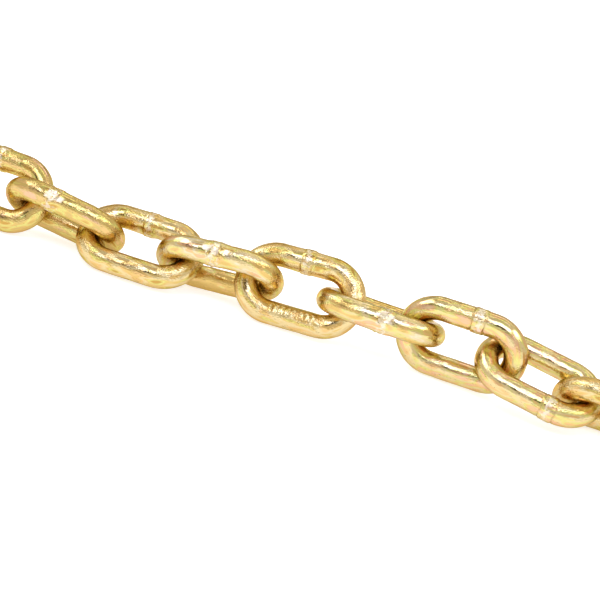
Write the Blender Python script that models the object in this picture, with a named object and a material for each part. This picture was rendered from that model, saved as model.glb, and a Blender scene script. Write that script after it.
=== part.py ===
"""A length of welded link chain in 10 mm round bar, lying out straight on a level floor.

Metres, +Z up, with the run along X. Every link is one bar bent to an oval and butt welded in the middle of one
leg, where the joint stands out as a low swelling. Each link hooks through the eye of the one before it.
"""

import math
from dataclasses import dataclass

import bpy
from mathutils import Euler, Vector

# Driving dimensions of one link
BAR_DIAMETER = 0.0100
INSIDE_LENGTH = 0.0357
INSIDE_WIDTH = 0.0145

# The weld swelling
WELD_LENGTH = 0.0130
WELD_GROWTH = 0.09

# Clear gap between two links where one crown pulls in the other
CROWN_GAP = 0.0004

# Fineness of the mesh
CROWN_STEPS = 12
LEG_STEPS = 10
BEVEL_RESOLUTION = 4

# Sizes that follow from the driving ones
BAR_RADIUS = BAR_DIAMETER / 2
LEG_OFFSET = (INSIDE_WIDTH + BAR_DIAMETER) / 2
HALF_LEG = (INSIDE_LENGTH - INSIDE_WIDTH) / 2


@dataclass(frozen=True)
class Lie:
    """How one link lies: its turns in degrees and the side of its welded leg."""

    roll: float
    yaw: float
    climb: float
    weld_side: int


# From the left end of the run to the right. Roll turns a link about the run, climb lifts its right end.
LIES = (
    Lie(roll=63, yaw=-3, climb=0.5, weld_side=1),
    Lie(roll=-40, yaw=2, climb=-7, weld_side=-1),
    Lie(roll=35, yaw=0.5, climb=1.5, weld_side=1),
    Lie(roll=-44.5, yaw=1, climb=5, weld_side=-1),
    Lie(roll=64, yaw=3, climb=2.5, weld_side=1),
    Lie(roll=-14, yaw=1, climb=0, weld_side=-1),
    Lie(roll=92, yaw=-3, climb=2, weld_side=1),
    Lie(roll=23.5, yaw=-3, climb=-7, weld_side=-1),
    Lie(roll=136.5, yaw=2, climb=0, weld_side=1),
)


def clear_scene():
    """Remove every object of the scene."""
    for obj in list(bpy.data.objects):
        bpy.data.objects.remove(obj, do_unlink=True)


def make_material(name, colour, roughness):
    """Return a metal material of one colour."""
    material = bpy.data.materials.new(name)
    material.use_nodes = True
    shader = material.node_tree.nodes["Principled BSDF"]
    shader.inputs["Base Color"].default_value = (*colour, 1.0)
    shader.inputs["Metallic"].default_value = 1.0
    shader.inputs["Roughness"].default_value = roughness
    return material


def swelling(along_leg):
    """Return the bar's radius factor at a distance from the middle of the welded leg."""
    reach = WELD_LENGTH / 2
    if abs(along_leg) >= reach:
        return 1.0
    return 1.0 + WELD_GROWTH * math.cos(math.pi / 2 * along_leg / reach) ** 0.7


def link_stations(weld_side):
    """Return the bar's centre points round the oval, each with its radius factor."""
    stations = []
    for side in (1, -1):
        for step in range(LEG_STEPS + 1):
            along = HALF_LEG * (1 - 2 * step / LEG_STEPS)
            factor = swelling(along) if side == weld_side else 1.0
            stations.append((Vector((side * along, side * LEG_OFFSET, 0)), factor))
        for step in range(1, CROWN_STEPS):
            angle = math.pi * step / CROWN_STEPS
            x = -side * (HALF_LEG + LEG_OFFSET * math.sin(angle))
            y = side * LEG_OFFSET * math.cos(angle)
            stations.append((Vector((x, y, 0)), 1.0))
    return stations


def make_link(name, lie, centre, material, collection):
    """Build one link as a closed bar along its oval and put it in its place."""
    stations = link_stations(lie.weld_side)
    curve = bpy.data.curves.new(name, "CURVE")
    curve.dimensions = "3D"
    curve.fill_mode = "FULL"
    curve.bevel_depth = BAR_RADIUS
    curve.bevel_resolution = BEVEL_RESOLUTION
    curve.twist_mode = "Z_UP"
    spline = curve.splines.new("POLY")
    spline.points.add(len(stations) - 1)
    for point, (place, factor) in zip(spline.points, stations):
        point.co = (*place, 1.0)
        point.radius = factor
    spline.use_cyclic_u = True
    spline.use_smooth = True
    curve.materials.append(material)
    link = bpy.data.objects.new(name, curve)
    link.location = centre
    link.rotation_euler = link_turn(lie)
    collection.objects.link(link)
    return link


def link_turn(lie):
    """Return a link's rotation: rolled about its length, then lifted at its right end, then swung round."""
    return Euler((math.radians(lie.roll), math.radians(-lie.climb), math.radians(lie.yaw)), "XYZ")


def length_axis(lie):
    """Return the direction of a link's length, towards its right end."""
    return link_turn(lie).to_matrix() @ Vector((1, 0, 0))


def plane_normal(lie):
    """Return the direction square to the plane of a link's oval."""
    return link_turn(lie).to_matrix() @ Vector((0, 0, 1))


def run_box(centres):
    """Return the lowest and the highest corner of the box that holds every link's bar."""
    places = [centre + link_turn(lie).to_matrix() @ place
              for lie, centre in zip(LIES, centres)
              for place, _ in link_stations(lie.weld_side)]
    skin = Vector((BAR_RADIUS, BAR_RADIUS, BAR_RADIUS))
    low = Vector([min(place[axis] for place in places) for axis in range(3)])
    high = Vector([max(place[axis] for place in places) for axis in range(3)])
    return low - skin, high + skin


def crown_distance(before, after):
    """Return how far apart the arc centres of two hooked crowns lie, with CROWN_GAP left between their bars.

    Crowns that hook nearly square come nearest at their tops, and those that slant come nearest beside them.
    """
    bar_distance = BAR_DIAMETER + CROWN_GAP
    slant = abs(plane_normal(before).dot(plane_normal(after)))
    if bar_distance <= LEG_OFFSET * (1 - slant):
        return 2 * LEG_OFFSET - bar_distance
    return math.sqrt((1 + slant) * (2 * LEG_OFFSET**2 - bar_distance**2 / (1 - slant)))


def run_centres():
    """Return each link's centre, with the run's box standing on z = 0 round the origin.

    Two hooked crowns pull along the line in which the planes of their ovals cross. Their arc centres lie on it.
    """
    centres = [Vector((0, 0, 0))]
    for before, after in zip(LIES, LIES[1:]):
        pull = plane_normal(before).cross(plane_normal(after)).normalized()
        if pull.x < 0:
            pull.negate()
        right_arc = centres[-1] + length_axis(before) * HALF_LEG
        left_arc = right_arc + pull * crown_distance(before, after)
        centres.append(left_arc + length_axis(after) * HALF_LEG)
    low, high = run_box(centres)
    origin = Vector(((low.x + high.x) / 2, (low.y + high.y) / 2, low.z))
    return [centre - origin for centre in centres]


def main():
    clear_scene()
    collection = bpy.data.collections.new("Link chain")
    bpy.context.scene.collection.children.link(collection)
    zinc = make_material("yellow_zinc", (0.72, 0.58, 0.32), 0.30)
    for number, (lie, centre) in enumerate(zip(LIES, run_centres()), start=1):
        make_link(f"link_{number}", lie, centre, zinc, collection)


main()
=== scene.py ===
"""The looks of a straight run of nine welded chain links with a yellow zinc finish, lying on a pale floor.

Every link is one round bar bent to an oval. It starts as a circle that is spun round one crown, copied to
the other crown and bridged along both legs. The bar then gets its weld, the flats that jaws and chisels left
there, its dents and a slight waviness, and the middle link gets a patch of ribs. The finish is a bright zinc
plate under a thin chromate film, whose colour drifts between gold, green and rose.
"""

import logging
import math
import random
from dataclasses import dataclass
from enum import Enum, IntEnum
from functools import cached_property

import bmesh
import bpy
import numpy as np
from mathutils import Matrix, Vector, noise


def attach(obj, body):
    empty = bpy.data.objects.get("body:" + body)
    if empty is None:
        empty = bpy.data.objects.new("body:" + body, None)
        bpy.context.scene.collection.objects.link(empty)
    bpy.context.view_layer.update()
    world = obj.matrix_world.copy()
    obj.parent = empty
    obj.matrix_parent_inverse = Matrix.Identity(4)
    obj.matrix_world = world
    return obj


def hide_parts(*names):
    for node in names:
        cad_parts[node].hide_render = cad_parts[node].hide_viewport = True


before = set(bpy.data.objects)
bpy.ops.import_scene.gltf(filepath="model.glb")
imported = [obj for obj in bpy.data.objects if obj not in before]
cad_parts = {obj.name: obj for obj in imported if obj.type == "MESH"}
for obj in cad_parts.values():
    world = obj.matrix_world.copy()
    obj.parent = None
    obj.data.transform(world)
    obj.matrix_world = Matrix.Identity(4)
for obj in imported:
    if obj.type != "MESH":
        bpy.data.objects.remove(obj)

LOG = logging.getLogger("chain")
MM = 0.001
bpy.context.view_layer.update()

# The link that has the ribs and that the camera aims by
MIDDLE_LINK = 5

# How many seeds each link has to itself, and how far apart two seeds' noise lies along each axis
SEEDS_PER_LINK = 10
NOISE_STEP = (7.31, 3.77, 5.13)

# How far apart the patterns of two links lie, in lengths of a link's bar
PATTERN_SPACING = 3

# Where the leg without a weld starts and how softly, in lengths of the bar away from the weld
PLAIN_LEG_START = 0.31
PLAIN_LEG_SOFTNESS = 0.06

Colour = tuple[float, float, float]
Span = tuple[float, float]


class WeldKind(Enum):
    """How the butt weld of a link was left: how high, how sharp its two rims are and how lumpy it is."""

    COLLAR = "even collar with one sharp rim"
    CREASED = "low collar with a crease at both rims"
    LUMPY = "rough upset with chisel and jaw marks"


class Tone(Enum):
    """The colour that a link's chromate film leans to."""

    GOLD = "gold"
    HONEY = "honey"
    STRAW = "straw"
    GREEN = "green gold"


class Pattern(IntEnum):
    """The noise that each feature takes. It is added to the link's seed, but the flats take it as it is."""

    WELD_RIMS = 0
    WELD_LUMPS = 1
    SMALL_WELD_LUMPS = 2
    FLAT_ENDS = 3
    FLAT_DARK_PATCHES = 4
    LONG_WAVES = 5
    SHORT_WAVES = 6
    SKIN_WAVES = 7
    GROOVE_SHADE = 9


@dataclass(frozen=True)
class LinkSizes:
    """The sizes of one link, in metres."""

    bar_diameter: float = 10.0 * MM
    inside_length: float = 35.7 * MM
    inside_width: float = 14.5 * MM

    @property
    def bar_radius(self) -> float:
        """The bar's radius."""
        return self.bar_diameter / 2

    @property
    def leg_offset(self) -> float:
        """The distance from the link's middle to a leg's centre line, and the radius of the crown's arc."""
        return (self.inside_width + self.bar_diameter) / 2

    @property
    def half_leg(self) -> float:
        """Half the length of a straight leg."""
        return (self.inside_length - self.inside_width) / 2

    @property
    def bar_length(self) -> float:
        """The length of the bar's centre line, once round the oval."""
        return 4 * self.half_leg + 2 * math.pi * self.leg_offset


def vertex_places(mesh: bpy.types.Mesh) -> np.ndarray:
    """Return the places of a mesh's vertices, one to a row."""
    places = np.empty(len(mesh.vertices) * 3, np.float32)
    mesh.vertices.foreach_get("co", places)
    return places.reshape(-1, 3).astype(float)


def store(mesh: bpy.types.Mesh, name: str, values: np.ndarray) -> None:
    """Store a number or a vector at each vertex of a mesh.

    Args:
        mesh: The mesh.
        name: The attribute's name.
        values: One number for each vertex, or one row of three.
    """
    kind, field = ("FLOAT", "value") if values.ndim == 1 else ("FLOAT_VECTOR", "vector")
    attribute = mesh.attributes.new(name, kind, "POINT")
    attribute.data.foreach_set(field, values.astype(np.float32).ravel())


@dataclass(frozen=True)
class LinkPose:
    """Where a link lies.

    Its own x runs along it, its y points to the welded leg, and its z is square to the oval.
    """

    matrix: Matrix

    @classmethod
    def of_node(cls, node: str, sizes: LinkSizes) -> "LinkPose":
        """Read the pose off the main directions of a link's solid.

        Args:
            node: The name of the solid.
            sizes: The link's sizes.

        Returns:
            The pose, with x towards the right end of the run.
        """
        points = np.unique(vertex_places(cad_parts[node].data), axis=0)
        _, directions = np.linalg.eigh(np.cov(points.T))
        along = directions[:, 2] * np.sign(directions[0, 2])
        square = directions[:, 0]
        across = np.cross(square, along)
        axes = np.stack([along, across, square], axis=1)
        local = points @ axes
        # The two crowns are alike, so their middle is the link's, while the weld makes one leg thicker
        middle_x = (local[:, 0].min() + local[:, 0].max()) / 2
        crown_start = 0.99 * sizes.half_leg
        crowns = local[np.abs(local[:, 0] - middle_x) > crown_start]
        middle = (crowns.min(axis=0) + crowns.max(axis=0)) / 2
        local -= middle
        middle = axes @ middle
        on_leg = local[np.abs(local[:, 0]) < sizes.half_leg / 2]
        from_leg = np.hypot(np.abs(on_leg[:, 1]) - sizes.leg_offset, on_leg[:, 2])
        swollen = on_leg[np.argmax(from_leg)]
        if swollen[1] < 0:
            across, square = -across, -square
        matrix = Matrix.Identity(4)
        for column, axis in enumerate((along, across, square, middle)):
            for row in range(3):
                matrix[row][column] = axis[row]
        return cls(matrix)


@dataclass
class BarPoints:
    """Every vertex of a link's bar, told by where it lies on the bar. Lengths are in millimetres.

    Attributes:
        place: The vertex in the link's own axes.
        outward: The direction away from the bar's centre line.
        run: The distance along the bar from the middle of the welded leg, up to half its length each way.
        turn: The angle round the bar, 0 on the oval's outer side and a quarter turn towards the link's z.
        length: The length of the bar.
        radius: The radius of the bar.
    """

    place: np.ndarray
    outward: np.ndarray
    run: np.ndarray
    turn: np.ndarray
    length: float
    radius: float

    @classmethod
    def of_oval(cls, place: np.ndarray, sizes: LinkSizes) -> "BarPoints":
        """Find where each vertex lies on the bar.

        Args:
            place: The vertices in the link's own axes, in metres.
            sizes: The link's sizes.

        Returns:
            The vertices with their places on the bar.
        """
        half_leg, arc = sizes.half_leg, sizes.leg_offset
        x, y = place[:, 0], place[:, 1]
        past_leg = np.sign(x) * np.maximum(np.abs(x) - half_leg, 0.0)
        on_leg = past_leg == 0
        bend = np.arctan2(past_leg, y)
        out_x = np.where(on_leg, 0.0, np.sin(bend))
        out_y = np.where(on_leg, np.sign(y), np.cos(bend))
        spine_x = np.clip(x, -half_leg, half_leg) + arc * out_x
        spine = np.stack([spine_x, arc * out_y, np.zeros_like(x)], axis=1)
        away = place - spine
        outward = away / np.linalg.norm(away, axis=1)[:, None]
        turn = np.arctan2(outward[:, 2], outward[:, 0] * out_x + outward[:, 1] * out_y)
        far_leg = on_leg & (y < 0)
        side = np.where(x < 0, -1.0, 1.0)
        run = np.where(on_leg, x, side * half_leg + arc * bend)
        run = np.where(far_leg, side * (2 * half_leg + math.pi * arc) - x, run)
        return cls(place / MM, outward, run / MM, turn, sizes.bar_length / MM, sizes.bar_radius / MM)

    def noise_at(self, grain: float, seed: int) -> np.ndarray:
        """Return smooth noise between about -1 and 1 that runs on round the link.

        Args:
            grain: The size of the lumps in millimetres.
            seed: Picks the pattern.
        """
        offset = Vector([seed * step for step in NOISE_STEP])
        return np.array([noise.noise(Vector(place) / grain + offset) for place in self.place])

    def off_run(self, run: float) -> np.ndarray:
        """Return the signed distance along the bar from a place on it."""
        return (self.run - run + self.length / 2) % self.length - self.length / 2

    def off_turn(self, turn: float) -> np.ndarray:
        """Return the signed distance round the bar from an angle on it."""
        angle = (self.turn - turn + math.pi) % (2 * math.pi) - math.pi
        return angle * self.radius


def soft_step(value: np.ndarray, softness: float) -> np.ndarray:
    """Return 0 far below zero and 1 far above it, with a change as wide as the softness."""
    return 0.5 + 0.5 * np.tanh(value / softness)


@dataclass(frozen=True)
class Dent:
    """A shallow dent with a low rim. Lengths are in millimetres.

    Attributes:
        run: The dent's middle along the bar, from the middle of the welded leg.
        turn: The dent's middle round the bar, as an angle.
        half_width: Half its width round the bar.
        half_length: Half its length along the bar.
        depth: The depth of its middle.
        rim: How strongly its edge rises as a rim.
    """

    run: float
    turn: float
    half_width: float
    half_length: float
    depth: float
    rim: float = 0.45

    def relief(self, bar: BarPoints) -> np.ndarray:
        """Return how far the dent moves each vertex inwards."""
        along = bar.off_run(self.run) / self.half_length
        across = bar.off_turn(self.turn) / self.half_width
        away = along ** 2 + across ** 2
        return self.depth * (1.0 - self.rim * away) * np.exp(-away)


@dataclass(frozen=True)
class Flat:
    """A flat place that a jaw or a chisel left on the bar. Lengths are in millimetres.

    Attributes:
        run: The middle of the flat along the bar, from the middle of the welded leg.
        turn: The middle of the flat round the bar, as an angle.
        half_length: Half the flat's length along the bar.
        depth: How far the bar is cut down in the flat's middle.
        softness: How far its ends are rounded.
        slant: How far its ends lean along the bar for each millimetre round it.
        wander: How far its ends wander along the bar.
        wander_grain: The size of the bays in its ends.
        full_cover: The share of its depth from which on a vertex counts as inside it.
        wiped: How much of the bar's other relief the flat wipes out.
        paleness: How strongly it shows the paler zinc, where the weld's middle has 1.
        dark_patch_start: How far past its right end the darker patch is darkest.
        dark_patch_length: How far along the bar the darker patch fades.
        dark_patch_width: The darker patch's width, in widths of the flat.
    """

    run: float
    turn: float
    half_length: float
    depth: float
    softness: float = 0.18
    slant: float = 0.35
    wander: float = 1.1
    wander_grain: float = 0.9
    full_cover: float = 0.25
    wiped: float = 0.8
    paleness: float = 1.5
    dark_patch_start: float = 0.2
    dark_patch_length: float = 0.5
    dark_patch_width: float = 1.2

    def along(self, bar: BarPoints) -> np.ndarray:
        """Return how far each vertex lies from the flat's middle along the bar."""
        return bar.off_run(self.run) + self.slant * bar.off_turn(self.turn)

    def ragged(self, bar: BarPoints, pattern: Pattern) -> np.ndarray:
        """Return how far an end of the flat lies off its usual place along the bar."""
        return self.wander * bar.noise_at(self.wander_grain, pattern)

    def cut(self, bar: BarPoints) -> np.ndarray:
        """Return how far the flat moves each vertex inwards."""
        aside = np.cos(np.clip(bar.off_turn(self.turn) / bar.radius, -1.0, 1.0))
        depth = np.maximum(bar.radius - (bar.radius - self.depth) / aside, 0.0)
        within = self.half_length - np.abs(self.along(bar)) + self.ragged(bar, Pattern.FLAT_ENDS)
        return depth * soft_step(within, self.softness)

    def cover(self, bar: BarPoints) -> np.ndarray:
        """Return 1 well inside the flat and 0 outside it."""
        return np.minimum(self.cut(bar) / (self.full_cover * self.depth), 1.0)

    def press(self, bar: BarPoints, relief: np.ndarray) -> np.ndarray:
        """Return the bar's relief with the flat pressed into it."""
        return relief * (1.0 - self.wiped * self.cover(bar)) - self.cut(bar)

    def dark_brown(self, bar: BarPoints) -> np.ndarray:
        """Return how dark the darker patch past the flat's right end is, from 0 to 1."""
        ragged = self.ragged(bar, Pattern.FLAT_DARK_PATCHES)
        past_end = self.along(bar) - self.half_length - self.dark_patch_start + ragged
        half_width = math.sqrt(2 * bar.radius * self.depth)
        aside = bar.off_turn(self.turn) / (self.dark_patch_width * half_width)
        return np.exp(-((past_end / self.dark_patch_length) ** 2) - aside ** 4)


@dataclass(frozen=True)
class WeldShape:
    """The relief of a butt weld. Lengths are in millimetres, and a span goes from the least to the most.

    Attributes:
        upset: How far the bar swells beside the joint.
        upset_reach: How far along the bar the swelling goes.
        collar: The extra height of the trimmed collar.
        half_length: Half the collar's length.
        left_rim: The softness of the collar's left rim.
        right_rim: The softness of the collar's right rim.
        crease: The depth of the groove that follows the left rim.
        lumps: The height of the lumps on the collar.
        chips: How many sharp dents lie round the joint.
        patch_reach: How far along the bar the paler zinc goes.
        rim_wander: How far the rims wander along the bar.
        rim_grain: The size of the bays in the rims.
        crease_width: Half the width of a groove.
        right_crease: The depth of the right rim's groove, as a share of the left one's.
        lump_grain: The size of the lumps.
        small_lumps: The height of the small lumps, as a share of the others'.
        small_lump_grain: The size of the small lumps.
        chip_spread: How far along the bar the chips lie, as a share of the patch's reach.
        chip_half_width: Half a chip's width.
        chip_half_length: Half a chip's length.
        chip_depth: A chip's depth.
    """

    upset: float
    upset_reach: float
    collar: float
    half_length: float
    left_rim: float
    right_rim: float
    crease: float
    lumps: float
    chips: int
    patch_reach: float
    rim_wander: float = 0.45
    rim_grain: float = 2.2
    crease_width: float = 0.26
    right_crease: float = 0.8
    lump_grain: float = 1.1
    small_lumps: float = 0.7
    small_lump_grain: float = 0.6
    chip_spread: float = 0.7
    chip_half_width: Span = (0.45, 1.3)
    chip_half_length: Span = (0.5, 1.4)
    chip_depth: Span = (0.10, 0.32)

    def rims(self, bar: BarPoints, shift: float, seed: int) -> tuple[np.ndarray, np.ndarray]:
        """Return how far each vertex lies within the collar's left and right rim, less than 0 outside it.

        Args:
            bar: The link's vertices.
            shift: How far the joint lies off the leg's middle.
            seed: The link's seed.
        """
        run = bar.off_run(shift)
        ragged = self.rim_wander * bar.noise_at(self.rim_grain, seed + Pattern.WELD_RIMS)
        return run + self.half_length + ragged, self.half_length - run + ragged

    def grooves(self, left: np.ndarray, right: np.ndarray) -> np.ndarray:
        """Return the depth of the grooves that follow the two rims, from their distances."""
        left_groove = np.exp(-((left / self.crease_width) ** 2))
        right_groove = np.exp(-((right / self.crease_width) ** 2))
        return self.crease * (left_groove + self.right_crease * right_groove)

    def relief(self, bar: BarPoints, shift: float, draw: random.Random, seed: int) -> np.ndarray:
        """Return how far the weld moves each vertex outwards.

        Args:
            bar: The link's vertices.
            shift: How far the joint lies off the leg's middle.
            draw: The link's own random numbers.
            seed: The link's seed.
        """
        left, right = self.rims(bar, shift, seed)
        swell = self.upset * np.exp(-((bar.off_run(shift) / self.upset_reach) ** 2))
        body = soft_step(left, self.left_rim) * soft_step(right, self.right_rim)
        lumps = bar.noise_at(self.lump_grain, seed + Pattern.WELD_LUMPS)
        small_lumps = bar.noise_at(self.small_lump_grain, seed + Pattern.SMALL_WELD_LUMPS)
        lumps = self.lumps * (lumps + self.small_lumps * small_lumps)
        relief = swell + body * (self.collar + lumps) - self.grooves(left, right)
        for _ in range(self.chips):
            run = shift + draw.gauss(0.0, self.patch_reach * self.chip_spread)
            turn = draw.uniform(-math.pi, math.pi)
            half_width = draw.uniform(*self.chip_half_width)
            half_length = draw.uniform(*self.chip_half_length)
            depth = draw.uniform(*self.chip_depth)
            relief -= Dent(run, turn, half_width, half_length, depth).relief(bar)
        return relief


WELDS = {
    WeldKind.COLLAR: WeldShape(upset=0.18, upset_reach=4.2, collar=0.30, half_length=2.4, left_rim=0.14,
                               right_rim=0.30, crease=0.10, lumps=0.10, chips=4, patch_reach=2.2),
    WeldKind.CREASED: WeldShape(upset=0.20, upset_reach=4.4, collar=0.18, half_length=2.9, left_rim=0.16,
                                right_rim=0.18, crease=0.42, lumps=0.09, chips=6, patch_reach=2.4),
    WeldKind.LUMPY: WeldShape(upset=0.24, upset_reach=4.0, collar=0.12, half_length=3.2, left_rim=0.5,
                              right_rim=0.6, crease=0.0, lumps=0.27, chips=30, patch_reach=3.5),
}


@dataclass(frozen=True)
class GroovePaintedShade:
    """Painted shade in a weld's grooves, which is darker in some places than in others.

    Attributes:
        strength: How dark a groove a millimetre deep would be.
        usual: The usual share of that.
        swing: How far the share goes up and down.
        least: The least share, where the most is 1.
        grain: The size of the darker places in millimetres.
    """

    strength: float = 2.0
    usual: float = 0.65
    swing: float = 1.3
    least: float = 0.3
    grain: float = 3.5

    def darkness(self, bar: BarPoints, grooves: np.ndarray, seed: int) -> np.ndarray:
        """Return how dark the painted shade is at each vertex.

        Args:
            bar: The link's vertices.
            grooves: The depth of the grooves at each vertex.
            seed: The link's seed.
        """
        share = self.usual + self.swing * bar.noise_at(self.grain, seed + Pattern.GROOVE_SHADE)
        return self.strength * grooves * np.clip(share, self.least, 1.0)


@dataclass(frozen=True)
class Wear:
    """The small unevenness of a bar that was drawn, bent, tumbled and plated.

    Lengths are in millimetres, and a span goes from the least to the most.

    Attributes:
        long_wave: The height of the long waves.
        long_grain: The size of the long waves.
        short_wave: The height of the short waves.
        short_grain: The size of the short waves.
        skin_wave: The height of the fine waves of the skin.
        skin_grain: The size of the fine waves.
        dents: How many dents the link has.
        deepest_dent: The most that a dent's depth is for each millimetre of its half width.
        dent_half_width: Half a dent's width.
        dent_stretch: How many times as long as wide a dent is.
        dent_depth: A dent's depth, as a share of the most.
    """

    long_wave: float = 0.070
    long_grain: float = 5.0
    short_wave: float = 0.022
    short_grain: float = 1.9
    skin_wave: float = 0.007
    skin_grain: float = 0.75
    dents: int = 44
    deepest_dent: float = 0.12
    dent_half_width: Span = (0.26, 0.80)
    dent_stretch: Span = (0.8, 3.2)
    dent_depth: Span = (0.25, 1.0)

    def relief(self, bar: BarPoints, draw: random.Random, seed: int) -> np.ndarray:
        """Return how far the wear moves each vertex outwards.

        Args:
            bar: The link's vertices.
            draw: The link's own random numbers.
            seed: The link's seed.
        """
        relief = self.long_wave * bar.noise_at(self.long_grain, seed + Pattern.LONG_WAVES)
        relief += self.short_wave * bar.noise_at(self.short_grain, seed + Pattern.SHORT_WAVES)
        relief += self.skin_wave * bar.noise_at(self.skin_grain, seed + Pattern.SKIN_WAVES)
        for _ in range(self.dents):
            run = draw.uniform(-bar.length / 2, bar.length / 2)
            turn = draw.uniform(-math.pi, math.pi)
            half_width = draw.uniform(*self.dent_half_width)
            half_length = half_width * draw.uniform(*self.dent_stretch)
            depth = self.deepest_dent * draw.uniform(*self.dent_depth) * half_width
            relief -= Dent(run, turn, half_width, half_length, depth).relief(bar)
        return relief


@dataclass(frozen=True)
class GripMarks:
    """Short plain ribs that a die leaves across a leg, in millimetres. They are all alike and spell nothing.

    Attributes:
        run: The middle of the patch along the bar, from the middle of the welded leg.
        turn: The middle of the patch round the bar, as an angle.
        ribs: How many ribs there are.
        spacing: The distance from one rib to the next.
        half_width: Half a rib's length round the bar.
        height: How far a rib rises from the grooves beside it.
        sunk: The share of that height by which the grooves lie below the bar's face.
        softness: How softly the patch starts and ends.
    """

    run: float
    turn: float
    ribs: int = 8
    spacing: float = 2.5
    half_width: float = 2.8
    height: float = 0.44
    sunk: float = 0.35
    softness: float = 0.25

    def relief(self, bar: BarPoints) -> np.ndarray:
        """Return how far the ribs move each vertex outwards."""
        across = bar.off_turn(self.turn)
        along = bar.off_run(self.run)
        reach = self.ribs * self.spacing / 2
        within_reach = soft_step(reach - np.abs(along), self.softness)
        window = within_reach * soft_step(self.half_width - np.abs(across), self.softness)
        wave = np.cos(2 * math.pi * along / self.spacing)
        return self.height * window * (0.5 + 0.5 * wave - self.sunk)


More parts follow.
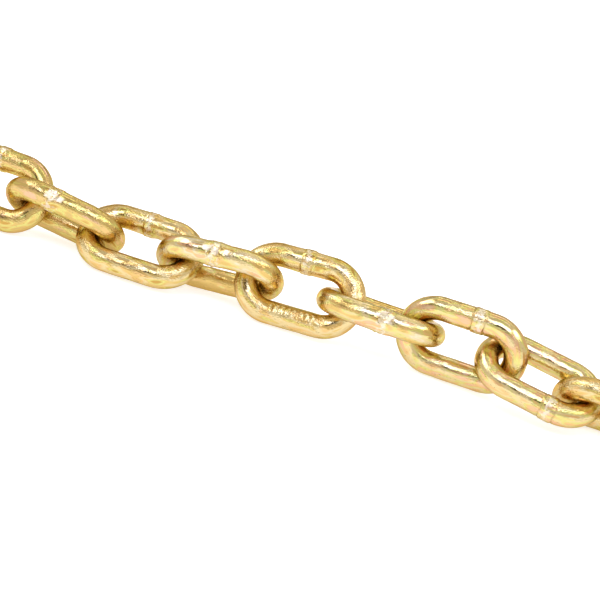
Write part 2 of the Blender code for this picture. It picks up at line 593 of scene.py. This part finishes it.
@dataclass
class ChainLink:
    """One link of the run: a bar bent to an oval and welded in one leg.

    Attributes:
        number: The link's place in the run, from the left.
        sizes: The link's sizes.
        weld: The kind of weld.
        weld_shift: How far the joint lies off the leg's middle, in millimetres.
        tone: The colour that its finish leans to.
        flats: The flat places at its weld.
        grip: The ribs on its plain leg, or None.
        ring_sides: How many faces go round the bar.
        crown_steps: How many rings go round a crown.
        leg_steps: How many rings go along a leg.
    """

    number: int
    sizes: LinkSizes
    weld: WeldKind
    weld_shift: float
    tone: Tone
    flats: tuple[Flat, ...] = ()
    grip: GripMarks | None = None
    ring_sides: int = 72
    crown_steps: int = 132
    leg_steps: int = 78

    @property
    def node(self) -> str:
        """The name of the solid and of the body that this link stands for."""
        return f"link_{self.number}"

    @property
    def seed(self) -> int:
        """Picks the link's own random numbers and patterns."""
        return SEEDS_PER_LINK * self.number

    @cached_property
    def pose(self) -> LinkPose:
        """Where the link lies."""
        return LinkPose.of_node(self.node, self.sizes)

    def bend_bar(self) -> bmesh.types.BMesh:
        """Model the plain oval in the link's own axes.

        Returns:
            A closed bar of one width, with even rings.
        """
        sizes = self.sizes
        bar = bmesh.new()
        bmesh.ops.create_circle(bar, cap_ends=False, segments=self.ring_sides, radius=sizes.bar_radius)
        bmesh.ops.rotate(bar, cent=(0, 0, 0), matrix=Matrix.Rotation(math.pi / 2, 3, "Y"), verts=bar.verts)
        bmesh.ops.translate(bar, vec=(sizes.half_leg, sizes.leg_offset, 0), verts=bar.verts)
        bmesh.ops.spin(bar, geom=bar.verts[:] + bar.edges[:], cent=(sizes.half_leg, 0, 0), axis=(0, 0, -1),
                       angle=math.pi, steps=self.crown_steps, use_duplicate=False)
        crown = bar.verts[:] + bar.edges[:] + bar.faces[:]
        other = bmesh.ops.duplicate(bar, geom=crown)["geom"]
        other_verts = [item for item in other if isinstance(item, bmesh.types.BMVert)]
        bmesh.ops.rotate(bar, cent=(0, 0, 0), matrix=Matrix.Rotation(math.pi, 3, "Z"), verts=other_verts)
        rims = [edge for edge in bar.edges if edge.is_boundary]
        for side in (1, -1):
            pair = [edge for edge in rims if edge.verts[0].co.y * side > 0]
            bmesh.ops.bridge_loops(bar, edges=pair)
        lengthwise = [edge for edge in bar.edges if edge.calc_length() > sizes.half_leg]
        bmesh.ops.subdivide_edges(bar, edges=lengthwise, cuts=self.leg_steps - 1, use_grid_fill=True)
        bmesh.ops.recalc_face_normals(bar, faces=bar.faces)
        return bar

    def build(self) -> bpy.types.Object:
        """Model the link in its place, with its relief and the attributes that its finish reads.

        Returns:
            The link's object, at the origin, with its place in its mesh.
        """
        mesh = bpy.data.meshes.new(f"chain_{self.node}")
        bar = self.bend_bar()
        bar.to_mesh(mesh)
        bar.free()
        points = BarPoints.of_oval(vertex_places(mesh), self.sizes)
        relief = self.relief(points)
        shaped = points.place + points.outward * relief[:, None]
        mesh.vertices.foreach_set("co", (shaped * MM).astype(np.float32).ravel())
        self.write_attributes(mesh, points)
        mesh.transform(self.pose.matrix)
        mesh.shade_smooth()
        mesh.update()
        link = bpy.data.objects.new(f"chain_{self.node}", mesh)
        bpy.context.scene.collection.objects.link(link)
        return link

    def relief(self, points: BarPoints) -> np.ndarray:
        """Return how far each vertex moves outwards, in millimetres."""
        draw = random.Random(self.seed)
        relief = WELDS[self.weld].relief(points, self.weld_shift, draw, self.seed)
        relief += Wear().relief(points, draw, self.seed)
        if self.grip is not None:
            relief += self.grip.relief(points)
        for flat in self.flats:
            relief = flat.press(points, relief)
        return relief

    def write_attributes(self, mesh: bpy.types.Mesh, points: BarPoints) -> None:
        """Store what the finish reads at each vertex.

        bar_place and bar_lift tell where the vertex lies on the bar, in a form that closes on itself round
        the link. The first two numbers of bar_place are the place on a circle as long as the bar, which lies
        elsewhere for each link. Its third and bar_lift are the place on the bar's own circle. weld_nearness
        is 1 at the joint and more on its flats, weld_shade_and_dark_patches tells how dark the painted shade
        in the weld's grooves and the darker patches past its flats are, and plain_leg is 1 on the leg without
        a weld.

        Args:
            mesh: The link's mesh.
            points: The link's vertices.
        """
        angle = 2 * math.pi * points.run / points.length
        ring = points.length / (2 * math.pi)
        ring_x = ring * np.cos(angle) + PATTERN_SPACING * points.length * self.number
        ring_y = ring * np.sin(angle)
        store(mesh, "bar_place", np.stack([ring_x, ring_y, points.radius * np.cos(points.turn)], axis=1))
        store(mesh, "bar_lift", points.radius * np.sin(points.turn))
        weld = WELDS[self.weld]
        grooves = weld.grooves(*weld.rims(points, self.weld_shift, self.seed))
        nearness = np.exp(-((points.off_run(self.weld_shift) / weld.patch_reach) ** 2))
        # Painted shade in the weld's grooves, darker where they are deeper
        darkness = GroovePaintedShade().darkness(points, grooves, self.seed)
        for flat in self.flats:
            nearness = np.maximum(nearness, flat.paleness * flat.cover(points))
            darkness = np.maximum(darkness, flat.dark_brown(points))
        store(mesh, "weld_nearness", nearness)
        store(mesh, "weld_shade_and_dark_patches", np.minimum(darkness, 1.0))
        past_start = np.abs(points.run) - points.length * PLAIN_LEG_START
        store(mesh, "plain_leg", soft_step(past_start, points.length * PLAIN_LEG_SOFTNESS))


class NodeSheet:
    """A shader node tree with short calls for adding and joining nodes."""

    def __init__(self, tree: bpy.types.NodeTree) -> None:
        """Keep the tree to write to."""
        self.tree = tree

    def add(self, kind: str, inputs: dict[str | int, object] | None = None,
            **settings: object) -> bpy.types.Node:
        """Add a node.

        Args:
            kind: The node's Blender type.
            inputs: What each named input takes, a value or another node's output.
            settings: The node's own properties.

        Returns:
            The new node.
        """
        node = self.tree.nodes.new(kind)
        for name, value in settings.items():
            setattr(node, name, value)
        for name, value in (inputs or {}).items():
            if isinstance(value, bpy.types.NodeSocket):
                self.tree.links.new(value, node.inputs[name])
            else:
                node.inputs[name].default_value = value
        return node

    def maths(self, operation: str, *values: object) -> bpy.types.NodeSocket:
        """Return the result of a Math node on the values, each a number or an output."""
        return self.add("ShaderNodeMath", dict(enumerate(values)), operation=operation).outputs[0]

    def times(self, value: bpy.types.NodeSocket, factor: object) -> bpy.types.NodeSocket:
        """Return a value times a number or another value."""
        return self.maths("MULTIPLY", value, factor)

    def total(self, first: object, *others: bpy.types.NodeSocket) -> bpy.types.NodeSocket:
        """Return the sum of a number or a value and other values."""
        result = first
        for other in others:
            result = self.maths("ADD", result, other)
        return result

    def stretch(self, value: bpy.types.NodeSocket, span: Span,
                new_span: Span = (0.0, 1.0)) -> bpy.types.NodeSocket:
        """Return the value carried from one span to another and kept within it."""
        inputs = {"Value": value, "From Min": span[0], "From Max": span[1],
                  "To Min": new_span[0], "To Max": new_span[1]}
        return self.add("ShaderNodeMapRange", inputs).outputs["Result"]

    def blend(self, share: object, first: object, second: object) -> bpy.types.NodeSocket:
        """Return a mix of two colours, whose sockets have to be told by their numbers."""
        share_input, first_input, second_input, result_output = 0, 6, 7, 2
        inputs = {share_input: share, first_input: first, second_input: second}
        return self.add("ShaderNodeMix", inputs, data_type="RGBA").outputs[result_output]

    def attribute(self, name: str, output: str = "Fac") -> bpy.types.NodeSocket:
        """Return what a mesh stores at its vertices under a name."""
        return self.add("ShaderNodeAttribute", attribute_name=name).outputs[output]

    def speckle(self, per_millimetre: float, detail: float = 1.0) -> bpy.types.NodeSocket:
        """Return even noise.

        Args:
            per_millimetre: How many lumps there are to a millimetre.
            detail: How much fine noise is added to it.
        """
        place = self.add("ShaderNodeTexCoord").outputs["Object"]
        inputs = {"Vector": place, "Scale": per_millimetre / MM, "Detail": detail}
        return self.add("ShaderNodeTexNoise", inputs).outputs["Fac"]

    def streaks(self, group: bpy.types.NodeTree, width: float, stretch: float,
                shift: float) -> bpy.types.NodeSocket:
        """Return streaks along the bar.

        Args:
            group: The group that draws them.
            width: A streak's width in millimetres.
            stretch: How many times longer than wide it is.
            shift: Picks the pattern.
        """
        inputs = {"Width": width, "Stretch": stretch, "Shift": shift}
        node = self.add("ShaderNodeGroup", node_tree=group)
        for name, value in inputs.items():
            node.inputs[name].default_value = value
        return node.outputs["Streaks"]

    def ramp(self, value: bpy.types.NodeSocket, stops: list[tuple[float, Colour]]) -> bpy.types.NodeSocket:
        """Return the colour that a ramp with the given stops has at the value."""
        node = self.add("ShaderNodeValToRGB", {0: value})
        elements = node.color_ramp.elements
        half_way = 0.5
        while len(elements) < len(stops):
            elements.new(half_way)
        for element, (position, colour) in zip(elements, stops):
            element.position = position
            element.color = (*colour, 1.0)
        return node.outputs["Color"]


def bar_streaks_group() -> bpy.types.NodeTree:
    """Build the group that draws streaks along a bar, closed round the bar and round the link.

    Returns:
        A group with the inputs Width in millimetres, Stretch as a ratio and Shift, which picks the pattern,
        and the output Streaks.
    """
    group = bpy.data.node_groups.new("Bar streaks", "ShaderNodeTree")
    for name, value in (("Width", 0.5), ("Stretch", 8.0), ("Shift", 0.0)):
        socket = group.interface.new_socket(name, in_out="INPUT", socket_type="NodeSocketFloat")
        socket.default_value = value
    group.interface.new_socket("Streaks", in_out="OUTPUT", socket_type="NodeSocketFloat")
    sheet = NodeSheet(group)
    given = sheet.add("NodeGroupInput").outputs
    parts = sheet.add("ShaderNodeSeparateXYZ", {0: sheet.attribute("bar_place", "Vector")}).outputs
    long_width = sheet.times(given["Width"], given["Stretch"])
    spread = [sheet.maths("DIVIDE", parts[0], long_width), sheet.maths("DIVIDE", parts[1], long_width),
              sheet.maths("DIVIDE", parts[2], given["Width"])]
    vector = sheet.add("ShaderNodeCombineXYZ", dict(enumerate(spread))).outputs[0]
    lift = sheet.maths("DIVIDE", sheet.attribute("bar_lift"), given["Width"])
    inputs = {"Vector": vector, "W": sheet.total(lift, given["Shift"]), "Scale": 1.0, "Detail": 1.0,
              "Roughness": 0.45}
    streaks = sheet.add("ShaderNodeTexNoise", inputs, noise_dimensions="4D").outputs["Fac"]
    sheet.add("NodeGroupOutput", {"Streaks": streaks})
    return group


def weld_patch_group() -> bpy.types.NodeTree:
    """Build the group that marks the ragged patch over a weld.

    Returns:
        A group with the output Patch, 1 on the patch and 0 off it.
    """
    raggedness = 3.0
    patch_edge = (2.2, 2.7)
    group = bpy.data.node_groups.new("Weld patch", "ShaderNodeTree")
    group.interface.new_socket("Patch", in_out="OUTPUT", socket_type="NodeSocketFloat")
    sheet = NodeSheet(group)
    ragged = sheet.times(sheet.speckle(0.55, detail=2.0), raggedness)
    nearness = sheet.total(sheet.attribute("weld_nearness"), ragged)
    sheet.add("NodeGroupOutput", {"Patch": sheet.stretch(nearness, patch_edge)})
    return group


@dataclass(frozen=True)
class SkinPatterns:
    """The patterns that a finish is made of, each from 0 to 1 over the surface.

    Attributes:
        patches: Large patches of the film, longer than wide.
        broad: Broad streaks along the bar.
        fine: Fine streaks along the bar.
        grain: The grain of the zinc.
        pits: The small pits of the zinc.
        rough: The stretches of the bar that are rougher than the others.
        weld: The ragged patch over the weld.
        crease: The painted shade in the weld's grooves and the darker patches past its flats.
        plain_leg: The leg without a weld.
    """

    patches: bpy.types.NodeSocket
    broad: bpy.types.NodeSocket
    fine: bpy.types.NodeSocket
    grain: bpy.types.NodeSocket
    pits: bpy.types.NodeSocket
    rough: bpy.types.NodeSocket
    weld: bpy.types.NodeSocket
    crease: bpy.types.NodeSocket
    plain_leg: bpy.types.NodeSocket

    @classmethod
    def on_sheet(cls, sheet: NodeSheet, streaks: bpy.types.NodeTree,
                 weld_patch: bpy.types.NodeTree) -> "SkinPatterns":
        """Add the patterns' nodes to a material.

        Args:
            sheet: The material's nodes.
            streaks: The group that draws streaks along a bar.
            weld_patch: The group that marks the patch over a weld.

        Returns:
            The patterns.
        """
        return cls(
            patches=sheet.streaks(streaks, width=2.6, stretch=3.2, shift=11.3),
            broad=sheet.streaks(streaks, width=1.4, stretch=5.0, shift=0.0),
            fine=sheet.streaks(streaks, width=0.7, stretch=6.0, shift=3.7),
            grain=sheet.speckle(1.2),
            pits=sheet.speckle(2.0),
            rough=sheet.speckle(0.13),
            weld=sheet.add("ShaderNodeGroup", node_tree=weld_patch).outputs["Patch"],
            # Painted shade in the weld's grooves and the darker patches past its flats
            crease=sheet.attribute("weld_shade_and_dark_patches"),
            plain_leg=sheet.attribute("plain_leg"),
        )


@dataclass(frozen=True)
class YellowZinc:
    """A bright zinc plate under a yellow chromate film.

    A span whose name ends in from says where on a pattern an effect starts and where it is full. Heights are
    in millimetres.

    Attributes:
        tone: What the film's colour leans to.
        film: The film's colours from its thinnest to its thickest place.
        plain_leg_painted_shade: How much further along the film's colours the plain leg lies: painted shade
            in deeper gold.
        dark_brown: The brown of the thin streaks, of the painted shade in the weld's grooves and past its
            flats.
        bare: The paler zinc over the weld.
        edge: The colour that the film turns where it's seen aslant.
        gloss: The roughness between the marks.
        coarseness: How strong the grain and the pits are, where 1 is the usual strength.
        patch_share: How much the patches count for the film's colour. The broad streaks count for the rest.
        film_from: Where on the patches and streaks the film's first and last colours lie.
        marks_from: Where on the fine streaks the marks are.
        mark_grain_from: Where on the grain the marks are.
        mark_strength: How strong a mark is at most.
        bare_strength: How much of the paler zinc shows over the weld.
        streak_from: Where on the broad streaks the gloss changes.
        streak_gloss: How much roughness the broad streaks take away and add.
        mark_roughness: How much roughness a mark adds.
        weld_roughness: How much roughness the weld adds.
        rough_from: Where on the rough stretches they add roughness.
        rough_roughness: How much roughness they add.
        bumps_from: Where on the rough stretches the bumps grow.
        bump_strength: How strong the bumps are on the smoothest and the roughest stretches.
        broad_height: The height of the broad streaks.
        fine_height: The height of the fine streaks.
        grain_height: The height of the grain.
        pit_height: The depth of the pits.
        weld_grain_height: The height that the weld adds to the grain.
    """

    tone: Tone
    film: tuple[Colour, ...]
    plain_leg_painted_shade: float = 0.0
    dark_brown: Colour = (0.34, 0.22, 0.08)
    bare: Colour = (0.86, 0.82, 0.75)
    edge: Colour = (0.68, 0.57, 0.38)
    gloss: float = 0.10
    coarseness: float = 1.0
    patch_share: float = 0.82
    film_from: Span = (0.34, 0.66)
    marks_from: Span = (0.54, 0.70)
    mark_grain_from: Span = (0.50, 0.66)
    mark_strength: float = 0.5
    bare_strength: float = 0.38
    streak_from: Span = (0.35, 0.65)
    streak_gloss: Span = (-0.04, 0.08)
    mark_roughness: float = 0.30
    weld_roughness: float = 0.20
    rough_from: Span = (0.40, 0.60)
    rough_roughness: float = 0.07
    bumps_from: Span = (0.38, 0.62)
    bump_strength: Span = (0.3, 1.5)
    broad_height: float = 0.10
    fine_height: float = 0.06
    grain_height: float = 0.075
    pit_height: float = 0.14
    weld_grain_height: float = 0.10

    def marks_and_shade(self, sheet: NodeSheet, skin: SkinPatterns) -> bpy.types.NodeSocket:
        """Return how brown the surface is: thin streaks, painted shade in the weld's grooves, patches past
        its flats.
        """
        streaked = sheet.stretch(skin.fine, self.marks_from)
        speckled = sheet.stretch(skin.grain, self.mark_grain_from, (0.0, self.mark_strength))
        return sheet.maths("MAXIMUM", sheet.times(streaked, speckled), skin.crease)

    def colour(self, sheet: NodeSheet, skin: SkinPatterns,
               marks_and_shade: bpy.types.NodeSocket) -> bpy.types.NodeSocket:
        """Return the colour of the film, with the brown streaks, the painted groove shade and the weld's
        paler zinc over it.
        """
        patches = sheet.times(skin.patches, self.patch_share)
        streaks = sheet.times(skin.broad, 1.0 - self.patch_share)
        # The plain leg turns a deeper gold: painted shade and a painted gold reflection of the welded leg in
        # front of it
        plain_leg = sheet.times(skin.plain_leg, self.plain_leg_painted_shade)
        depth = sheet.total(patches, streaks, plain_leg)
        last = len(self.film) - 1
        stops = [(index / last, colour) for index, colour in enumerate(self.film)]
        film = sheet.ramp(sheet.stretch(depth, self.film_from), stops)
        # Brown over the film at the streaks, as painted shade in the weld's grooves and past its flats
        marked_and_shaded = sheet.blend(marks_and_shade, film, (*self.dark_brown, 1.0))
        return sheet.blend(sheet.times(skin.weld, self.bare_strength), marked_and_shaded, (*self.bare, 1.0))

    def roughness(self, sheet: NodeSheet, skin: SkinPatterns,
                  marks_and_shade: bpy.types.NodeSocket) -> bpy.types.NodeSocket:
        """Return the roughness, which the streaks, the marks, the weld and the rough stretches change."""
        streaks = sheet.stretch(skin.broad, self.streak_from, self.streak_gloss)
        marked = sheet.times(marks_and_shade, self.mark_roughness)
        welded = sheet.times(skin.weld, self.weld_roughness)
        rough = sheet.stretch(skin.rough, self.rough_from, (0.0, self.rough_roughness))
        return sheet.total(self.gloss, streaks, marked, welded, rough)

    def height(self, sheet: NodeSheet, skin: SkinPatterns) -> bpy.types.NodeSocket:
        """Return the height of the streaks, the grain and the pits, in metres."""
        broad = sheet.times(skin.broad, self.broad_height * MM)
        fine = sheet.times(skin.fine, self.fine_height * MM)
        grain = sheet.times(skin.grain, self.grain_height * self.coarseness * MM)
        pits = sheet.times(skin.pits, self.pit_height * self.coarseness * MM)
        strength = sheet.stretch(skin.rough, self.bumps_from, self.bump_strength)
        height = sheet.times(sheet.total(broad, fine, grain, pits), strength)
        weld_height = sheet.times(skin.weld, self.weld_grain_height * MM)
        return sheet.total(height, sheet.times(skin.grain, weld_height))

    def material(self, streaks: bpy.types.NodeTree, weld_patch: bpy.types.NodeTree) -> bpy.types.Material:
        """Build the material.

        Args:
            streaks: The group that draws streaks along a bar.
            weld_patch: The group that marks the patch over a weld.

        Returns:
            The finish.
        """
        material = bpy.data.materials.new(f"yellow_zinc_{self.tone.name.lower()}")
        material.use_nodes = True
        material.node_tree.nodes.clear()
        sheet = NodeSheet(material.node_tree)
        skin = SkinPatterns.on_sheet(sheet, streaks, weld_patch)
        marks_and_shade = self.marks_and_shade(sheet, skin)
        height = self.height(sheet, skin)
        bump = sheet.add("ShaderNodeBump", {"Height": height, "Strength": 1.0, "Distance": 1.0})
        shader = sheet.add("ShaderNodeBsdfPrincipled", {
            "Base Color": self.colour(sheet, skin, marks_and_shade),
            "Metallic": 1.0,
            "Roughness": self.roughness(sheet, skin, marks_and_shade),
            "Normal": bump.outputs["Normal"],
            "Specular Tint": (*self.edge, 1.0),
        })
        sheet.add("ShaderNodeOutputMaterial", {"Surface": shader.outputs["BSDF"]})
        return material


# Colours of the chromate film
AMBER = (0.48, 0.29, 0.07)
TAN = (0.54, 0.40, 0.14)
GOLD = (0.60, 0.41, 0.13)
PEACH = (0.67, 0.43, 0.17)
ROSE = (0.67, 0.41, 0.24)
STRAW = (0.65, 0.51, 0.25)
CREAM = (0.66, 0.56, 0.37)
LIME = (0.60, 0.55, 0.17)

FINISHES = (
    YellowZinc(Tone.GOLD, (ROSE, TAN, PEACH, TAN, GOLD, LIME, GOLD, AMBER), coarseness=0.75),
    YellowZinc(Tone.HONEY, (PEACH, GOLD, PEACH, STRAW, STRAW, GOLD, LIME, AMBER)),
    # The straw links' plain legs are a deeper gold, as painted shade and a painted gold reflection
    YellowZinc(Tone.STRAW, (ROSE, PEACH, CREAM, STRAW, STRAW, LIME, PEACH, GOLD, GOLD), plain_leg_painted_shade=0.16,
               coarseness=0.7),
    YellowZinc(Tone.GREEN, (ROSE, PEACH, STRAW, STRAW, LIME, PEACH, ROSE, STRAW), gloss=0.12,
               coarseness=0.5),
)

# The weld of each link, how far its joint lies off the leg's middle in millimetres, and the link's tone
WELDS_AND_TONES = (
    (WeldKind.COLLAR, 0.4, Tone.GOLD),
    (WeldKind.LUMPY, -4.8, Tone.GOLD),
    (WeldKind.COLLAR, 0.4, Tone.HONEY),
    (WeldKind.LUMPY, -0.6, Tone.STRAW),
    (WeldKind.COLLAR, 0.2, Tone.HONEY),
    (WeldKind.LUMPY, 3.2, Tone.STRAW),
    (WeldKind.CREASED, 4.6, Tone.GREEN),
    (WeldKind.CREASED, 8.4, Tone.GREEN),
    (WeldKind.COLLAR, 0.0, Tone.HONEY),
)

# The flats at the rough welds, by the link's number
FLATS = {
    2: (Flat(-5.4, math.radians(2), half_length=2.3, depth=0.42),
        Flat(-1.2, math.radians(6), half_length=1.3, depth=0.14)),
    4: (Flat(-3.8, math.radians(5), half_length=0.9, depth=0.14),
        Flat(-0.4, math.radians(12), half_length=1.1, depth=0.24),
        Flat(4.6, math.radians(7), half_length=1.1, depth=0.14)),
    6: (Flat(4.8, math.radians(-22), half_length=1.2, depth=0.40),
        Flat(2.2, math.radians(-42), half_length=1.4, depth=0.20),
        Flat(0.0, math.radians(-26), half_length=0.7, depth=0.10)),
}


@dataclass
class LinkRun:
    """The whole run of links, from its left end to its right end."""

    links: list[ChainLink]

    @classmethod
    def of_choices(cls) -> "LinkRun":
        """Make the run from the welds, tones and flats that are chosen above, with ribs on the middle link.

        Returns:
            The run of links.
        """
        sizes = LinkSizes()
        links = []
        for number, (weld, shift, tone) in enumerate(WELDS_AND_TONES, start=1):
            links.append(ChainLink(number, sizes, weld, shift, tone, flats=FLATS.get(number, ())))
        across_from_weld = sizes.bar_length / MM / 2
        links[MIDDLE_LINK - 1].grip = GripMarks(run=across_from_weld, turn=math.radians(92))
        return cls(links)

    def build(self) -> None:
        """Model every link, dress it and hand it to its body."""
        streaks, weld_patch = bar_streaks_group(), weld_patch_group()
        finishes = {finish.tone: finish.material(streaks, weld_patch) for finish in FINISHES}
        for link in self.links:
            piece = link.build()
            piece.data.materials.append(finishes[link.tone])
            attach(piece, link.node)
            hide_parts(link.node)
            LOG.info("%s: %s, %s weld, %d faces", piece.name, link.tone.value, link.weld.value,
                     len(piece.data.polygons))


@dataclass(frozen=True)
class Softbox:
    """One soft light: a lit rectangle that faces the run.

    Attributes:
        name: The light's name.
        azimuth: Where it stands round the run in degrees, 0 in front and 90 to the right.
        elevation: How high it stands, in degrees above the floor.
        distance: How far away it is, in metres.
        width: Its width in metres.
        height: Its height in metres.
        radiance: How bright its face is, where the floor is about 1.
        colour: The light's colour.
    """

    name: str
    azimuth: float
    elevation: float
    distance: float
    width: float
    height: float
    radiance: float
    colour: Colour = (1.0, 1.0, 1.0)

    def build(self) -> None:
        """Make the light and turn it to the run."""
        light = bpy.data.lights.new(self.name, "AREA")
        light.shape = "RECTANGLE"
        light.size = self.width
        light.size_y = self.height
        light.energy = self.radiance * math.pi * self.width * self.height
        light.color = self.colour
        lamp = bpy.data.objects.new(self.name, light)
        azimuth, elevation = math.radians(self.azimuth), math.radians(self.elevation)
        level = math.cos(elevation)
        where = Vector((level * math.sin(azimuth), -level * math.cos(azimuth), math.sin(elevation)))
        lamp.location = where * self.distance
        lamp.rotation_euler = where.to_track_quat("Z", "Y").to_euler()
        lamp.visible_camera = False
        bpy.context.scene.collection.objects.link(lamp)


SOFTBOXES = (
    Softbox("front_softbox", azimuth=8, elevation=54, distance=1.4, width=1.2, height=0.56, radiance=2.6,
            colour=(1.0, 1.13, 1.78)),
    Softbox("top_softbox", azimuth=174, elevation=78, distance=1.6, width=1.3, height=0.22, radiance=1.2),
    Softbox("back_softbox", azimuth=176, elevation=48, distance=1.6, width=1.3, height=0.24, radiance=1.4),
    Softbox("left_softbox", azimuth=-82, elevation=48, distance=1.6, width=1.0, height=0.62, radiance=3.0,
            colour=(1.0, 1.06, 1.30)),
    Softbox("right_softbox", azimuth=84, elevation=46, distance=1.6, width=0.8, height=0.40, radiance=3.6),
)


@dataclass(frozen=True)
class ViewPoint:
    """The camera that sees the run as the photograph does.

    Attributes:
        elevation: How far it looks down, in degrees.
        azimuth: How far it looks towards the left, in degrees.
        roll: How far it is turned about its own line of sight, in degrees.
        distance: Its distance from the middle link, in metres.
        scale: The picture's pixels to a millimetre at the middle link.
        middle: Where the middle link's centre lies in the picture, in pixels from the top left.
        picture: The side of the square picture, in pixels.
        sensor: The width of the camera's sensor, in millimetres.
        nearest: How near it can see, in metres.
        farthest: How far it can see, in metres.
    """

    elevation: float = 20.03
    azimuth: float = 8.75
    roll: float = 16.26
    distance: float = 0.6993
    scale: float = 2.4181
    middle: tuple[float, float] = (299.83, 290.45)
    picture: float = 600.0
    sensor: float = 36.0
    nearest: float = 0.01
    farthest: float = 50.0

    def build(self, target: Vector) -> None:
        """Make the scene's camera.

        Args:
            target: The middle link's centre.
        """
        angles = (self.elevation, self.azimuth, self.roll)
        elevation, azimuth, roll = (math.radians(angle) for angle in angles)
        ahead = math.cos(azimuth)
        sight = Vector((-math.sin(azimuth), ahead * math.cos(elevation), -ahead * math.sin(elevation)))
        level_right = sight.cross(Vector((0, 0, 1))).normalized()
        level_up = level_right.cross(sight)
        right = math.cos(roll) * level_right + math.sin(roll) * level_up
        up = -math.sin(roll) * level_right + math.cos(roll) * level_up
        offset_right = (self.picture / 2 - self.middle[0]) / self.scale * MM
        offset_up = (self.middle[1] - self.picture / 2) / self.scale * MM
        aim = target + right * offset_right + up * offset_up
        camera = bpy.data.cameras.new("Camera")
        camera.sensor_width = self.sensor
        camera.lens = self.scale / MM * self.distance / self.picture * self.sensor
        camera.clip_start = self.nearest
        camera.clip_end = self.farthest
        viewer = bpy.data.objects.new("Camera", camera)
        turn = Matrix((right, up, -sight)).transposed()
        viewer.matrix_world = Matrix.Translation(aim - sight * self.distance) @ turn.to_4x4()
        bpy.context.scene.collection.objects.link(viewer)
        bpy.context.scene.camera = viewer


# Colours of the room that the bright bars reflect
WHITE = (1.0, 1.0, 1.0)
DARK = (0.09, 0.075, 0.055)
CEILING = (0.95, 0.93, 0.88)
BEAM = (0.32, 0.30, 0.25)

# The room's colours by height, from 0 level with the floor to 1 straight above it
ROOM_COLOURS = [
    (0.0, WHITE),
    (0.28, WHITE),
    (0.33, DARK),
    (0.42, DARK),
    (0.47, CEILING),
    (0.66, CEILING),
    (0.70, BEAM),
    (0.74, CEILING),
    (0.79, CEILING),
    (0.82, BEAM),
    (0.85, CEILING),
    (0.90, CEILING),
    (0.93, BEAM),
    (0.96, CEILING),
]


@dataclass(frozen=True)
class Studio:
    """The pale floor, the soft light and the camera.

    Attributes:
        floor_size: The floor's side in metres.
        floor_colour: The floor's colour.
        floor_roughness: The floor's roughness.
        floor_glow: How bright the floor shines by itself, as a light table does.
        room_turn: How far to the left the dark line and the beams have their middle, where 1 is fully aside.
        plain_from: How far aside from there the room starts to turn plain and is plain.
        paler_from: How far behind the chain they start to grow paler and are palest, in the same way.
        paleness: How much paler they are there.
    """

    floor_size: float = 16.0
    floor_colour: Colour = (0.70, 0.70, 0.70)
    floor_roughness: float = 0.9
    floor_glow: float = 0.66
    room_turn: float = 0.15
    plain_from: Span = (0.30, 0.60)
    paler_from: Span = (0.0, 0.3)
    paleness: float = 0.4

    def build(self) -> None:
        """Set up everything that isn't the chain."""
        self.lay_floor()
        self.light_room()
        for softbox in SOFTBOXES:
            softbox.build()
        middle_link = LinkPose.of_node(f"link_{MIDDLE_LINK}", LinkSizes())
        ViewPoint().build(middle_link.matrix.translation)
        bpy.context.scene.view_settings.view_transform = "Standard"

    def lay_floor(self) -> None:
        """Lay the pale floor, which glows a little."""
        grid = bmesh.new()
        bmesh.ops.create_grid(grid, x_segments=2, y_segments=2, size=self.floor_size / 2)
        mesh = bpy.data.meshes.new("floor")
        grid.to_mesh(mesh)
        grid.free()
        floor = bpy.data.objects.new("floor", mesh)
        bpy.context.scene.collection.objects.link(floor)
        material = bpy.data.materials.new("pale_floor")
        material.use_nodes = True
        shader = material.node_tree.nodes["Principled BSDF"]
        shader.inputs["Base Color"].default_value = (*self.floor_colour, 1.0)
        shader.inputs["Roughness"].default_value = self.floor_roughness
        shader.inputs["Specular IOR Level"].default_value = 0.0
        shader.inputs["Emission Color"].default_value = (*WHITE, 1.0)
        shader.inputs["Emission Strength"].default_value = self.floor_glow
        mesh.materials.append(material)

    def light_room(self) -> None:
        """Light the room, which is white near the floor, with a dark line above that and a beamed ceiling.

        The line and the beams are on the camera's side, and paler behind the chain. To both sides the room is
        plain.
        """
        world = bpy.data.worlds.new("studio")
        world.use_nodes = True
        world.node_tree.nodes.clear()
        sheet = NodeSheet(world.node_tree)
        direction = sheet.add("ShaderNodeTexCoord").outputs["Generated"]
        directions = sheet.add("ShaderNodeSeparateXYZ", {0: direction}).outputs
        height = sheet.stretch(sheet.maths("ARCSINE", directions["Z"]), (0.0, math.pi / 2))
        shade = sheet.ramp(height, ROOM_COLOURS)
        off_middle = sheet.maths("ABSOLUTE", sheet.maths("ADD", directions["X"], self.room_turn))
        aside = sheet.stretch(off_middle, self.plain_from)
        behind = sheet.stretch(directions["Y"], self.paler_from, (0.0, self.paleness))
        shade = sheet.blend(sheet.maths("MAXIMUM", aside, behind), shade, (*CEILING, 1.0))
        background = sheet.add("ShaderNodeBackground", {"Color": shade, "Strength": 1.0})
        sheet.add("ShaderNodeOutputWorld", {"Surface": background.outputs[0]})
        bpy.context.scene.world = world


def main() -> None:
    """Build the run of links and the studio round it."""
    logging.basicConfig(level=logging.INFO, format="%(name)s: %(message)s")
    LinkRun.of_choices().build()
    Studio().build()


if __name__ == "__main__":
    main()
